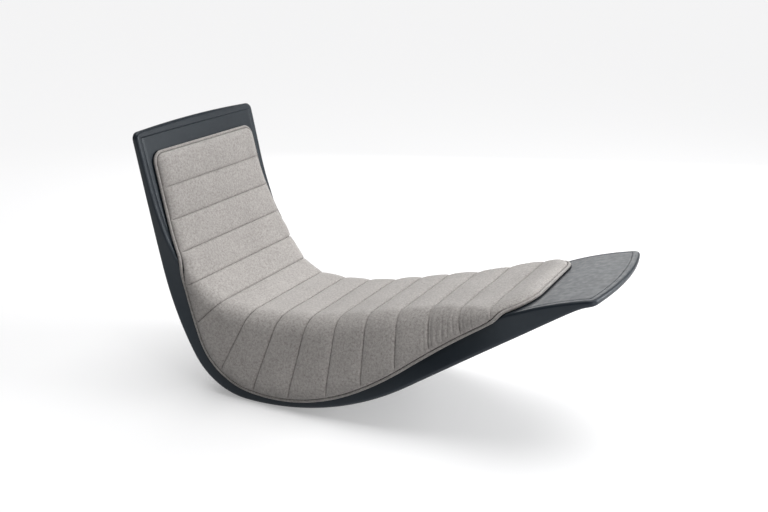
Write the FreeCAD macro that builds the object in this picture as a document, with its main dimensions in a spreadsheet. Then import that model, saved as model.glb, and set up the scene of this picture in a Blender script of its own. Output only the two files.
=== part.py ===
import FreeCAD, Part
import math
import os
from types import SimpleNamespace

# Rocking chaise lounge: a leather-covered body, bent to a seat and a back, that rocks on its own rounded underside,
# with a quilted pad laid over it. X runs from the back to the foot, Y to the left, Z up.
# The origin is on the floor, in the middle of the line on which the chaise rests.

DIMENSIONS = [
    ("back_rake", 10.0, "rear line of the back, degrees from upright"),
    ("back_straight", 459.0, "straight length of the rear line below the head"),
    ("lumbar_radius", 958.0, "rear line behind the waist"),
    ("lumbar_turn", 18.8, "degrees"),
    ("hip_radius", 245.0, "rear line round the hip"),
    ("hip_turn", 58.7, "degrees"),
    ("rocker_radius", 967.0, "underside that rolls on the floor"),
    ("foot_straight", 760.0, "underside towards the foot, longer than the body"),
    ("foot_rise", 8.93788, "the underside's line past the front line at the foot's end, for a turn of 36.2 degrees"),
    ("lap_rake", 12.5, "front line of the back, degrees from upright"),
    ("lap_straight", 190.0, "straight length of the front line below the head"),
    ("lap_lumbar_radius", 1100.0, "front line at the waist"),
    ("lap_lumbar_turn", 16.0, "degrees"),
    ("lap_hip_radius", 259.0, "front line where back and seat meet"),
    ("lap_hip_turn", 59.3, "degrees"),
    ("thigh_radius", 1178.0, "seat under the thighs"),
    ("thigh_turn", 16.6, "degrees"),
    ("seat_straight", 481.0, "flat stretch of the seat"),
    ("knee_radius", 600.0, "rise between seat and foot rest"),
    ("knee_turn", 9.0, "degrees"),
    ("foot_flat", 40.0, "straight start of the foot rest"),
    ("droop_radius", 1100.0, "foot rest, bending down again"),
    ("droop_turn", 13.3, "degrees"),
    ("edge_depth", 18.0, "least depth of the body at the head and the foot"),
    ("edge_blend", 10.0, "rounding between the thin edge and the growing depth"),
    ("lag_angle", 17.0, "how far the cross-sections lean back at the hip, degrees"),
    ("lag_start", 200.0, "along the front line"),
    ("lag_end", 1450.0, "along the front line"),
    ("head_width", 650.0, "across the head"),
    ("foot_width", 500.0, "across the foot"),
    ("taper_power", 1.5, "how late the width is lost"),
    ("side_lean", 82.0, "how far the side faces lean in towards the top"),
    ("lean_start", 330.0, "along the front line"),
    ("lean_full", 850.0, "along the front line"),
    ("lean_release", 1400.0, "along the front line"),
    ("lean_end", 1740.0, "along the front line"),
    ("edge_radius", 9.0, "rounding of the body's edges"),
    ("edge_chamfer", 5.0, "softening of the padded edges at the head and the foot"),
    ("shoulder_radius", 50.0, "rounding between seat and side face"),
    ("head_corner", 25.0, "corner radius of the head, seen from the front"),
    ("foot_bow", 50.0, "depth of the foot's rounded end"),
    ("foot_corner", 24.0, "corner radius of the foot's rounded end"),
    ("leather_thickness", 1.5, "cover"),
    ("layer_gap", 0.3, "clearance between layers"),
    ("foam_edge", 3.0, "seat foam at the head and the foot"),
    ("foam_seat", 22.0, "seat foam in the seat"),
    ("deck_thickness", 5.0, "bent plywood deck"),
    ("skin_thickness", 4.0, "bent plywood underside"),
    ("felt_thickness", 1.5, "felt between underside and leather"),
    ("deck_inset", 6.0, "deck edge inside the shoulder rounding"),
    ("skin_inset", 1.0, "skin edge inside the rim rounding"),
    ("seam_inset", 12.0, "cover seam inside the shoulder rounding"),
    ("seam_inset_end", 2.0, "the same at the head and the foot"),
    ("rail_end", 50.0, "length of the solid rails at the head and the foot"),
    ("rib_spacing", 280.0, "between the middles of the two ribs"),
    ("rib_thickness", 18.0, "plywood"),
    ("cross_width", 26.0, "cross rail, along the body"),
    ("cross_depth", 28.0, "cross rail, down from the deck"),
    ("cross_first", 450.0, "first cross rail, along the front line"),
    ("cross_pitch", 240.0, "between cross rails"),
    ("joint_gap", 0.2, "between a bar and its slot in the ribs, all round"),
    ("ballast_width", 58.0, "steel bar, along the body"),
    ("ballast_depth", 58.0, "steel bar, between seat and underside"),
    ("ballast_lift", 12.0, "steel bar above the plywood underside"),
    ("ballast_first", 594.0, "first steel bar, along the front line"),
    ("ballast_pitch", 55.0, "between steel bars"),
    ("runner_thickness", 4.0, "rubber strip that meets the floor"),
    ("runner_width", 34.0, "rubber strip"),
    ("runner_inset", 58.0, "middle of the strip, in from the rim"),
    ("runner_start", 560.0, "along the front line"),
    ("runner_end", 1560.0, "along the front line"),
    ("pad_start", 86.0, "upper end of the pad, along the front line"),
    ("pad_end", 1742.0, "lower end of the pad, along the front line"),
    ("pad_margin", 86.0, "leather left bare beside the pad, over the side"),
    ("pad_dip", 47.0, "how much less is left bare beside the hip"),
    ("dip_middle", 985.0, "along the front line"),
    ("dip_reach", 300.0, "along the front line"),
    ("pad_head_corner", 32.0, "corner radius at the pad's upper end"),
    ("pad_foot_corner", 95.0, "corner radius at the pad's lower end"),
    ("mat_thickness", 1.4, "grip mat between the leather and the pad"),
    ("sheet_thickness", 5.0, "foam sheet in the pad"),
    ("mat_inset", 12.0, "edges of mat and foam sheet inside the shoulder rounding"),
    ("pad_loft", 30.0, "pad at the middle of a channel"),
    ("seam_loft", 21.0, "pad at a quilting seam"),
    ("rim_loft", 11.0, "pad beside its corded edge"),
    ("rim_fade", 45.0, "width over which the pad thins to its corded edge"),
    ("channel_count", 15, "quilted channels"),
    ("seam_share", 0.28, "part of a channel that falls towards its seam"),
    ("piping_radius", 5.0, "corded edge of the pad"),
]
CROSS_COUNT = 6
BALLAST_COUNT = 4
CORD_SIDES = 8
SHOULDER_FLATS = 3
RIM_FLATS = 2

doc = FreeCAD.newDocument("rocking_chaise")
sheet = doc.addObject("Spreadsheet::Sheet", "Sizes")
for row, (alias, value, note) in enumerate(DIMENSIONS, start=1):
    sheet.set(f"A{row}", alias)
    sheet.set(f"B{row}", str(value))
    sheet.set(f"C{row}", note)
    sheet.setAlias(f"B{row}", alias)
doc.recompute()
size = SimpleNamespace(**{alias: float(sheet.get(alias)) for alias, _, _ in DIMENSIONS})


# Paths of straights and arcs in the side plane

def arc(radius, turn):
    """One arc of a path, as its length and its turn in radians."""
    turn = math.radians(turn)
    return radius * abs(turn), turn


def straight(length):
    return length, 0.0


def lay_path(start, heading, runs):
    """Chains the runs and gives each one's start distance, point and heading."""
    laid = []
    distance = 0.0
    x, z = start
    for length, turn in runs:
        laid.append((distance, length, x, z, heading, turn))
        x, z, heading = along(laid[-1], length)
        distance += length
    return laid


def along(run, step):
    """Point and heading at one step along a run."""
    _, length, x, z, heading, turn = run
    bend = turn / length
    if abs(bend) < 1e-12:
        return x + step * math.cos(heading), z + step * math.sin(heading), heading
    ahead = heading + bend * step
    x += (math.sin(ahead) - math.sin(heading)) / bend
    z -= (math.cos(ahead) - math.cos(heading)) / bend
    return x, z, ahead


def on_path(path, distance):
    run = next(r for r in reversed(path) if distance >= r[0] or r is path[0])
    return along(run, distance - run[0])


def path_length(path):
    return path[-1][0] + path[-1][1]


BACK_HEADING = math.radians(size.back_rake - 90)
LAP_HEADING = math.radians(size.lap_rake - 90)
FRONT_RUNS = [
    straight(size.lap_straight),
    arc(size.lap_lumbar_radius, size.lap_lumbar_turn),
    arc(size.lap_hip_radius, size.lap_hip_turn),
    arc(size.thigh_radius, size.thigh_turn),
    straight(size.seat_straight),
    arc(size.knee_radius, size.knee_turn),
    straight(size.foot_flat),
    arc(size.droop_radius, -size.droop_turn),
]


def rear_runs(rocker_turn):
    return [
        straight(size.back_straight),
        arc(size.lumbar_radius, size.lumbar_turn),
        arc(size.hip_radius, size.hip_turn),
        arc(size.rocker_radius, rocker_turn),
        straight(size.foot_straight),
    ]


def front_line(rear):
    """The sitter's side of the body, which starts one edge depth in front of the rear line."""
    x, z, heading = on_path(rear, 0.0)
    start = (x - size.edge_depth * math.sin(heading), z + size.edge_depth * math.cos(heading))
    return lay_path(start, LAP_HEADING, FRONT_RUNS)


def rocker_turn():
    """How far the underside turns, in degrees, to rise past the foot's end as far as it should."""
    low, high = 0.0, 90.0
    while high - low > 1e-10:
        turn = (low + high) / 2
        rear = lay_path((0.0, 0.0), BACK_HEADING, rear_runs(turn))
        front = front_line(rear)
        tip_x, tip_z, _ = on_path(front, path_length(front))
        _, _, x, z, heading, _ = rear[-1]
        rise = (tip_x - x) * math.sin(heading) - (tip_z - z) * math.cos(heading)
        if rise < size.foot_rise:
            low = turn
        else:
            high = turn
    return turn


def resting_point(path):
    """The point of the rear line where it runs level, which is the lowest."""
    for run in path:
        _, length, _, _, heading, turn = run
        if turn and heading <= 0 <= heading + turn:
            return along(run, -heading * length / turn)[:2]


def rear_line():
    """The back and the underside, set down so that the rubber strips on it touch the floor."""
    runs = rear_runs(rocker_turn())
    x, z = resting_point(lay_path((0.0, 0.0), BACK_HEADING, runs))
    return lay_path((-x, size.runner_thickness - z), BACK_HEADING, runs)


REAR = rear_line()
FRONT = front_line(REAR)
LENGTH = path_length(FRONT)
REAR_STEPS = 1500
REAR_POINTS = [on_path(REAR, path_length(REAR) * i / REAR_STEPS)[:2] for i in range(REAR_STEPS + 1)]


def spread(start, end, count):
    return [start + (end - start) * i / (count - 1) for i in range(count)]


def smooth(share):
    share = min(max(share, 0.0), 1.0)
    return share * share * (3 - 2 * share)


# Cross-sections: each lies in a plane through the front line, with depth measured from the front line to the rear
# line and width along Y

def depth_to_rear(x, z, dx, dz):
    """How far behind the point the rear line is, against the direction."""
    best = None
    last = None
    for px, pz in REAR_POINTS:
        side = (px - x) * dz - (pz - z) * dx
        depth = -((px - x) * dx + (pz - z) * dz)
        if last and side * last[0] <= 0 and depth > -size.edge_depth * 3:
            share = last[0] / (last[0] - side) if last[0] != side else 0.0
            found = last[1] + share * (depth - last[1])
            if best is None or abs(found) < abs(best):
                best = found
        last = (side, depth)
    return -size.edge_depth if best is None else best


def station(u, known={}):
    """The cross-section at a distance along the front line."""
    if u not in known:
        x, z, heading = on_path(FRONT, u)
        share = min(max((u - size.lag_start) / (size.lag_end - size.lag_start), 0.0), 1.0)
        lean_back = math.radians(size.lag_angle) * math.sin(math.pi * share)
        up = heading + math.pi / 2 - lean_back
        dx, dz = math.cos(up), math.sin(up)
        depth = depth_to_rear(x, z, dx, dz)
        least = size.edge_depth
        depth = (depth + least + math.hypot(depth - least, size.edge_blend)) / 2
        narrowing = (size.head_width - size.foot_width) / 2
        rim = size.head_width / 2 - narrowing * (max(u, 0.0) / LENGTH) ** size.taper_power
        grown = smooth((u - size.lean_start) / (size.lean_full - size.lean_start))
        released = smooth((u - size.lean_release) / (size.lean_end - size.lean_release))
        lean = grown * (1 - released)
        radius = size.edge_radius + (size.shoulder_radius - size.edge_radius) * lean
        known[u] = SimpleNamespace(
            x=x, z=z, dx=dx, dz=dz, depth=depth, rim=rim,
            shoulder=rim - size.side_lean * lean, shoulder_radius=radius,
        )
    return known[u]


def place(u, y, h):
    """The point of a cross-section at a width and a depth."""
    s = station(u)
    return FreeCAD.Vector(s.x - s.dx * h, y, s.z - s.dz * h)


def contour(u, top, side, bottom):
    """The body's outline at a section, set in from the top, the side and the underside."""
    s = station(u)
    tilt = math.atan2(s.rim - s.shoulder, s.depth)
    lean = math.tan(tilt)
    inward = side / math.cos(tilt)
    shoulder_y = s.shoulder + lean * top - inward
    rim_y = s.shoulder + lean * (s.depth - bottom) - inward
    upper_r = max(s.shoulder_radius - top, 0.5)
    lower_r = max(size.edge_radius - bottom, 0.5)
    upper_t = upper_r * math.tan((math.pi / 2 - tilt) / 2)
    lower_t = lower_r * math.tan((math.pi / 2 + tilt) / 2)
    out = (math.cos(tilt), -math.sin(tilt))
    upper_c = (shoulder_y - upper_t, top + upper_r)
    lower_c = (rim_y - lower_t, s.depth - bottom - lower_r)
    return SimpleNamespace(
        tilt=tilt, out=out, top=top, bottom=s.depth - bottom,
        upper_c=upper_c, upper_r=upper_r, lower_c=lower_c, lower_r=lower_r,
        flat=upper_c[0], floor=lower_c[0],
    )


def on_arc(center, radius, direction):
    reach = math.hypot(*direction)
    return center[0] + radius * direction[0] / reach, center[1] + radius * direction[1] / reach


def side_points(c):
    """Points from the top round the shoulder, down the side face and round the rim to the underside."""
    side = math.pi / 2 - c.tilt
    over = spread(0.0, side, SHOULDER_FLATS + 1)
    under = spread(side, math.pi, RIM_FLATS + 1)
    return ([on_arc(c.upper_c, c.upper_r, (math.sin(t), -math.cos(t))) for t in over]
            + [on_arc(c.lower_c, c.lower_r, (math.sin(t), -math.cos(t))) for t in under])


# Layers of the body run between the padded edges of the head and the foot

BODY_START = size.head_corner
BODY_END = LENGTH - size.foot_bow


def deck_half(u):
    """Half width of the deck and the seat foam."""
    return contour(u, 0, 0, 0).flat - size.deck_inset


def skin_half(u):
    """Half width of the plywood underside and its felt."""
    return contour(u, 0, 0, 0).floor - size.skin_inset


def seam_inset(u):
    """How far inside the rounding a cover seam runs."""
    fade = smooth((u - BODY_START) / (5 * size.seam_inset)) * smooth((BODY_END - u) / (5 * size.seam_inset))
    return size.seam_inset_end + (size.seam_inset - size.seam_inset_end) * fade


def seam_half(u):
    """Half width of the seat cover, up to its seam with the side cover."""
    return contour(u, 0, 0, 0).flat - seam_inset(u)


def under_seam_half(u):
    """Half width of the underside cover, up to its seam with the side cover."""
    return contour(u, 0, 0, 0).floor - seam_inset(u)


def foam_depth(u):
    growth = smooth((station(u).depth - size.edge_depth * 1.6) / (size.foam_seat * 4))
    return size.foam_edge + (size.foam_seat - size.foam_edge) * growth


def deck_top(u):
    return size.leather_thickness + 2 * size.layer_gap + foam_depth(u)


def deck_bottom(u):
    return deck_top(u) + size.deck_thickness


def felt_bottom(u):
    return station(u).depth - size.leather_thickness - size.layer_gap


def skin_bottom(u):
    return felt_bottom(u) - size.felt_thickness - size.layer_gap


def skin_top(u):
    return skin_bottom(u) - size.skin_thickness


# Solids made through cross-sections

def corner_steps(start, depth, count):
    """Distances that follow a rounded corner evenly, from its end inwards."""
    return [start + depth * (1 - math.cos(math.pi / 2 * i / count)) for i in range(count)]


def quilt_steps():
    """Distances at each quilting seam and where the channels beside it are full."""
    pitch = (size.pad_end - size.pad_start) / size.channel_count
    shares = (0.0, size.seam_share, 1 - size.seam_share)
    return [size.pad_start + pitch * (i + share) for i in range(int(size.channel_count)) for share in shares]


HEAD_RAIL = (BODY_START, BODY_START + size.rail_end)
FOOT_RAIL = (BODY_END - size.rail_end, BODY_END)
SHARED_STEPS = [*HEAD_RAIL, *quilt_steps(), *spread(size.pad_end, FOOT_RAIL[0], 4), FOOT_RAIL[1]]


def run_steps(start, end):
    """The distances shared by all layers between two ends, so that they lie snugly on each other."""
    return [start] + [u for u in SHARED_STEPS if start + 1.0 < u < end - 1.0] + [end]


def line(a, b):
    return Part.makeLine(a, b)


def bow(points):
    return Part.Arc(*points).toShape()


def ring(u, points, sign=1):
    """A closed outline at a section, from points given as width and depth."""
    corners = [place(u, sign * y, h) for y, h in points]
    return Part.makePolygon(corners + corners[:1])


def loft(wires):
    solid = Part.makeLoft(wires, True, True)
    if solid.Volume < 0:
        solid.reverse()
    return solid


def slab(u, half, top, bottom):
    return ring(u, [(-half, top), (half, top), (half, bottom), (-half, bottom)])


def layer(start, end, half, top, bottom):
    """A layer across the body between two depths, each given by a function of the distance."""
    return loft([slab(u, half(u), top(u), bottom(u)) for u in run_steps(start, end)])


def feature(label, shape):
    """A finished piece of the chaise."""
    item = doc.addObject("Part::Feature", label)
    item.Label = label
    item.Shape = shape
    pieces.append(item)
    return item


pieces = []


# Covers

def leather_seat():
    """Seat, back and foot cover, from seam to seam."""
    return layer(BODY_START, BODY_END, seam_half, lambda u: 0.0, lambda u: size.leather_thickness)


def leather_underside():
    top = lambda u: station(u).depth - size.leather_thickness
    return layer(BODY_START, BODY_END, under_seam_half, top, lambda u: station(u).depth)


def leather_side(sign):
    """Side cover: round the shoulder, down the side face and round the rim."""
    wires = []
    for u in run_steps(BODY_START, BODY_END):
        outer = contour(u, 0, 0, 0)
        inner = contour(u, *[size.leather_thickness] * 3)
        start = seam_half(u) + size.layer_gap
        end = under_seam_half(u) + size.layer_gap
        outside = [(start, 0.0)] + side_points(outer) + [(end, outer.bottom)]
        inside = [(start, inner.top)] + side_points(inner) + [(end, inner.bottom)]
        wires.append(ring(u, outside + inside[::-1], sign))
    return loft(wires)


def padded_edge(u, turn, outline):
    """A padded edge in leather, drawn flat with its inner side along Y and softened on its outer edges."""
    s = station(u)
    plate = Part.Face(Part.Wire(outline)).extrude(FreeCAD.Vector(0, 0, -s.depth))
    softened = [e for e in plate.Edges if not is_inner(e)]
    plate = plate.makeChamfer(size.edge_chamfer, softened)
    plate.Placement = FreeCAD.Placement(place(u, 0.0, 0.0), section_turn(s).multiply(turn))
    return plate


def is_inner(edge):
    """An edge that stays sharp: upright, or on the side that meets the rest of the body."""
    box = edge.BoundBox
    return box.XMax < 0.01 or box.ZLength > 1.0


def section_turn(s):
    """Rotation whose local X runs along the body, local Y across it and local Z towards the sitter."""
    ahead = FreeCAD.Vector(s.dz, 0, -s.dx)
    return FreeCAD.Rotation(ahead, FreeCAD.Vector(0, 1, 0), FreeCAD.Vector(s.dx, 0, s.dz), "ZXY")


def head_edge():
    """Rounded corners at the head."""
    half = station(BODY_START).rim
    radius = size.head_corner
    diagonal = radius * math.sqrt(0.5)
    point = FreeCAD.Vector
    corner = point(diagonal, half - radius + diagonal, 0)
    mirrored = point(diagonal, -half + radius - diagonal, 0)
    left, right = point(0, half, 0), point(0, -half, 0)
    top_left, top_right = point(radius, half - radius, 0), point(radius, -half + radius, 0)
    outline = [line(right, left), bow([left, corner, top_left]), line(top_left, top_right),
               bow([top_right, mirrored, right])]
    return padded_edge(BODY_START, FreeCAD.Rotation(FreeCAD.Vector(0, 0, 1), 180), outline)


def foot_edge():
    """The bowed end of the foot: a wide arc between two corner arcs that run into the sides."""
    half = station(BODY_END).rim
    bow_depth, corner = size.foot_bow, size.foot_corner
    wide = (half ** 2 - 2 * half * corner + bow_depth ** 2) / (2 * (bow_depth - corner))
    across = half - corner
    join = math.atan2(wide - bow_depth, across)
    point = FreeCAD.Vector
    meet = point(corner * math.sin(join), across + corner * math.cos(join), 0)
    middle = point(corner * math.sin(join / 2), across + corner * math.cos(join / 2), 0)
    flip = lambda p: point(p.x, -p.y, 0)
    left = point(0, half, 0)
    tip = point(bow_depth, 0, 0)
    outline = [bow([left, middle, meet]), bow([meet, tip, flip(meet)]),
               bow([flip(meet), flip(middle), flip(left)]), line(flip(left), left)]
    return padded_edge(BODY_END, FreeCAD.Rotation(), outline)


# Foams and felt

def seat_foam():
    top = lambda u: size.leather_thickness + size.layer_gap
    bottom = lambda u: top(u) + foam_depth(u)
    return layer(BODY_START, BODY_END, deck_half, top, bottom)


def bolster(sign):
    """Shaped foam between the deck and the side cover."""
    wires = []
    inset = size.leather_thickness + size.layer_gap
    for u in run_steps(BODY_START, BODY_END):
        c = contour(u, inset, inset, inset)
        inner = deck_half(u) + size.layer_gap
        step = skin_half(u) + size.layer_gap
        foot = skin_top(u) - size.layer_gap
        outside = [(inner, inset)] + side_points(c)
        wires.append(ring(u, outside + [(step, c.bottom), (step, foot), (inner, foot)], sign))
    return loft(wires)


def underside_felt():
    top = lambda u: felt_bottom(u) - size.felt_thickness
    return layer(BODY_START, BODY_END, skin_half, top, felt_bottom)


# Plywood frame

def seat_deck():
    return layer(BODY_START, BODY_END, deck_half, deck_top, deck_bottom)


def underside_skin():
    return layer(BODY_START, BODY_END, skin_half, skin_top, skin_bottom)


def rail(start, end):
    """Solid hardwood between deck and underside at the head or the foot."""
    gap = size.layer_gap
    half = lambda u: min(deck_half(u), skin_half(u))
    return layer(start, end, half, lambda u: deck_bottom(u) + gap, lambda u: skin_top(u) - gap)


def rib_profile():
    """Outline of a rib between deck and underside, in the middle plane."""
    gap = size.layer_gap
    distances = run_steps(HEAD_RAIL[1] + gap, FOOT_RAIL[0] - gap)
    upper = [place(u, 0.0, deck_bottom(u) + gap) for u in distances]
    lower = [place(u, 0.0, skin_top(u) - gap) for u in distances]
    return Part.Face(Part.makePolygon(upper + lower[::-1] + upper[:1]))


def placement_along(u, top):
    """Placement on a layer's face, whose local X runs along the face and local Z stands off it to the sitter."""
    reach = size.cross_width / 2
    ahead = (place(u + reach, 0.0, top(u + reach)) - place(u - reach, 0.0, top(u - reach))).normalize()
    up = FreeCAD.Vector(-ahead.z, 0, ahead.x)
    return FreeCAD.Placement(place(u, 0.0, top(u)), FreeCAD.Rotation(ahead, FreeCAD.Vector(0, 1, 0), up, "ZXY"))


def bar(name, u, top, width, depth, gap="0"):
    """A bar across the body, through both ribs, or with a gap the slot for one."""
    item = doc.addObject("Part::Box", name)
    item.setExpression("Length", f"Sizes.{width} + 2 * {gap}")
    item.setExpression("Width", f"Sizes.rib_spacing + Sizes.rib_thickness + 4 * {gap}")
    item.setExpression("Height", f"Sizes.{depth} + 2 * {gap}")
    extra = getattr(size, gap.removeprefix("Sizes."), 0.0)
    half_length = getattr(size, width) / 2 + extra
    half_width = (size.rib_spacing + size.rib_thickness) / 2 + 2 * extra
    corner = FreeCAD.Vector(-half_length, -half_width, -getattr(size, depth) - extra)
    item.Placement = placement_along(u, top).multiply(FreeCAD.Placement(corner, FreeCAD.Rotation()))
    return item


CROSS_BARS = [size.cross_first + size.cross_pitch * i for i in range(CROSS_COUNT)]
BALLAST_BARS = [size.ballast_first + size.ballast_pitch * i for i in range(BALLAST_COUNT)]


def cross_top(u):
    return deck_bottom(u) + 2 * size.layer_gap


def ballast_top(u):
    return skin_top(u) - size.ballast_lift - size.ballast_depth


def build_frame():
    bars = [(f"cross_rail_{i}", u, cross_top, "cross_width", "cross_depth")
            for i, u in enumerate(CROSS_BARS, start=1)]
    bars += [(f"ballast_bar_{i}", u, ballast_top, "ballast_width", "ballast_depth")
             for i, u in enumerate(BALLAST_BARS, start=1)]
    for label, u, top, width, depth in bars:
        item = bar(label, u, top, width, depth)
        item.Label = label
        pieces.append(item)
    profile = doc.addObject("Part::Feature", "rib_profile")
    profile.Shape = rib_profile()
    for side, label in ((1, "rib_left"), (-1, "rib_right")):
        blank = doc.addObject("Part::Extrusion", label + "_blank")
        blank.Base = profile
        blank.DirMode = "Custom"
        blank.Dir = FreeCAD.Vector(0, 1, 0)
        blank.setExpression("LengthFwd", "Sizes.rib_thickness")
        blank.Solid = True
        inner = side * size.rib_spacing / 2 - size.rib_thickness / 2
        blank.Placement = FreeCAD.Placement(FreeCAD.Vector(0, inner, 0), FreeCAD.Rotation())
        slots = doc.addObject("Part::Compound", label + "_slots")
        slots.Links = [bar(f"{name}_{label}_slot", u, top, width, depth, "Sizes.joint_gap")
                       for name, u, top, width, depth in bars]
        rib = doc.addObject("Part::Cut", label)
        rib.Base = blank
        rib.Tool = slots
        rib.Label = label
        pieces.append(rib)


# Rubber strips that the chaise rocks on

def runner(sign):
    wires = []
    for u in run_steps(size.runner_start, size.runner_end):
        s = station(u)
        middle = s.rim - size.runner_inset
        half = size.runner_width / 2
        top = s.depth
        bottom = s.depth + size.runner_thickness
        wires.append(ring(u, [
            (middle - half, top), (middle + half, top), (middle + half, bottom), (middle - half, bottom),
        ], sign))
    return loft(wires)


# Quilted pad

def girth_parts(u):
    """Length across the flat top, round the shoulder and down the side face."""
    c = contour(u, 0, 0, 0)
    flat = c.flat
    rounding = c.upper_r * (math.pi / 2 - c.tilt)
    start = on_arc(c.upper_c, c.upper_r, c.out)
    end = on_arc(c.lower_c, c.lower_r, c.out)
    return flat, rounding, math.hypot(end[0] - start[0], end[1] - start[1])


def pad_half_girth(u):
    """Half the pad's width, measured over the body from the middle to the edge."""
    margin = size.pad_margin - size.pad_dip * math.exp(-((u - size.dip_middle) / size.dip_reach) ** 2)
    half = sum(girth_parts(u)) + 2 * size.edge_radius - margin
    for corner, past in ((size.pad_head_corner, u - size.pad_start), (size.pad_foot_corner, size.pad_end - u)):
        if past < corner:
            half -= corner - math.sqrt(max(corner ** 2 - (corner - past) ** 2, 0.0))
    return half


def over_body(u, girth, lift):
    """Width and depth of the point at a girth from the middle, lifted off the leather."""
    flat, rounding, _ = girth_parts(u)
    c = contour(u, 0, 0, 0)
    if girth <= flat:
        return girth, -lift
    if girth <= flat + rounding:
        angle = (girth - flat) / c.upper_r
        reach = c.upper_r + lift
        return c.upper_c[0] + reach * math.sin(angle), c.upper_c[1] - reach * math.cos(angle)
    a = on_arc(c.upper_c, c.upper_r + lift, c.out)
    down = girth - flat - rounding
    return a[0] - c.out[1] * down, a[1] + c.out[0] * down


def channel_crown(u):
    """How full the pad is along its length: none at a seam, 1 between seams."""
    pitch = (size.pad_end - size.pad_start) / size.channel_count
    share = ((u - size.pad_start) / pitch) % 1.0
    return min(min(share, 1 - share) / size.seam_share, 1.0)


def pad_loft(u, girth, half):
    """Thickness of the pad at a point."""
    full = size.seam_loft + (size.pad_loft - size.seam_loft) * channel_crown(u)
    to_edge = min(half - girth, u - size.pad_start, size.pad_end - u)
    share = min(max(to_edge, 0.0) / size.rim_fade, 1.0)
    return size.rim_loft + (full - size.rim_loft) * math.sqrt(1 - (1 - share) ** 2)


def pad_stations(inset):
    """The shared distances between the pad's rounded corners, with those that follow the corners."""
    low, high = size.pad_start + inset, size.pad_end - inset
    corners = corner_steps(low, size.pad_head_corner, 3)
    corners += [high - step for step in corner_steps(0.0, size.pad_foot_corner, 5)]
    between = run_steps(low + size.pad_head_corner, high - size.pad_foot_corner)[1:-1]
    return sorted(corners + between)


def girth_steps(u, half, extra):
    """Girths from the middle to the edge: round the shoulder as the cover does, and some extra ones."""
    flat, rounding, _ = girth_parts(u)
    steps = sorted(spread(flat, flat + rounding, SHOULDER_FLATS + 1) + extra) + [half]
    for i in reversed(range(len(steps) - 1)):
        steps[i] = min(steps[i], steps[i + 1] - 1.0)
    return [0.0] + steps


def across_body(u, profile):
    """Points from the right edge to the left edge, from girths and lifts given for one half."""
    points = [over_body(u, girth, lift) for girth, lift in profile]
    mirrored = [(-y, h) for y, h in reversed(points[1:])]
    return [place(u, y, h) for y, h in mirrored + points]


SHEET_BASE = size.mat_thickness + 2 * size.layer_gap
SHEET_TOP = SHEET_BASE + size.sheet_thickness


def sheet_half(u):
    """Half width of the mat and the foam sheet: flat, and inside the pad's edge."""
    return min(contour(u, 0, 0, 0).flat, pad_half_girth(u)) - size.mat_inset


def grip_mat():
    """Non-slip mat between the leather and the pad."""
    top = lambda u: -size.layer_gap - size.mat_thickness
    start, end = size.pad_start + size.pad_head_corner, size.pad_end - size.pad_foot_corner
    return layer(start, end, sheet_half, top, lambda u: -size.layer_gap)


def pad_sheet():
    """Plain foam sheet under the quilting."""
    start, end = size.pad_start + size.pad_head_corner, size.pad_end - size.pad_foot_corner
    return layer(start, end, sheet_half, lambda u: -SHEET_TOP, lambda u: -SHEET_BASE)


def pad_quilt():
    """Wadding and cover, sewn together between the channels."""
    distances = pad_stations(0.5)
    wires = []
    for u in distances:
        half = pad_half_girth(u)
        clear = sheet_half(u) + size.layer_gap
        over_sheet = size.pad_start + size.pad_head_corner / 2 < u < size.pad_end - size.pad_foot_corner / 2
        raised = SHEET_TOP + size.layer_gap if over_sheet else SHEET_BASE
        under = [(girth, raised if girth <= clear else SHEET_BASE) for girth in girth_steps(u, half, [clear])]
        fade = [half - size.rim_fade, half - size.rim_fade * 0.4]
        over = [(girth, pad_loft(u, girth, half)) for girth in girth_steps(u, half, fade)]
        loop = across_body(u, over) + across_body(u, under)[::-1]
        wires.append(Part.makePolygon(loop + loop[:1]))
    return loft(wires)


MIDDLE_OF_SEAT = place(size.pad_start, 0.0, 0.0) * 0.5 + place(size.pad_end, 0.0, 0.0) * 0.5


def piping_path(sign):
    """Middle line of the corded edge, half way round, from the upper end to the lower end."""
    lift = (SHEET_BASE + size.rim_loft) / 2 + size.layer_gap
    reach = size.piping_radius + 2 * size.layer_gap
    us = pad_stations(0.0)
    flat = [(u, pad_half_girth(u)) for u in us]
    flat.insert(0, (size.pad_start, flat[0][1] / 2))
    flat.insert(0, (size.pad_start, 0.0))
    flat.append((size.pad_end, flat[-1][1] / 2))
    flat.append((size.pad_end, 0.0))
    points = []
    for i, (u, girth) in enumerate(flat):
        before = flat[max(i - 1, 0)]
        after = flat[min(i + 1, len(flat) - 1)]
        step = (after[0] - before[0], after[1] - before[1])
        length = math.hypot(*step)
        out = (-step[1] / length, step[0] / length)
        if i in (0, len(flat) - 1):
            out = (-1.0 if i == 0 else 1.0, 0.0)
        u_out = u + out[0] * reach
        y, h = over_body(u_out, girth + out[1] * reach, lift)
        points.append(place(u_out, sign * y, h))
    return points


def piping(sign):
    """Half of the corded edge, from the middle of the upper end to the middle of the lower end."""
    points = piping_path(sign)
    wires = []
    for i, point in enumerate(points):
        along_cord = points[min(i + 1, len(points) - 1)] - points[max(i - 1, 0)]
        if i in (0, len(points) - 1):
            along_cord = FreeCAD.Vector(0, 1, 0)
        away = point - MIDDLE_OF_SEAT
        across = along_cord.cross(away).normalize()
        raised = across.cross(along_cord).normalize()
        turns = [2 * math.pi * k / CORD_SIDES for k in range(CORD_SIDES)]
        section = [point + (across * math.cos(t) + raised * math.sin(t)) * size.piping_radius for t in turns]
        wires.append(Part.makePolygon(section + section[:1]))
    return loft(wires)


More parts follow.
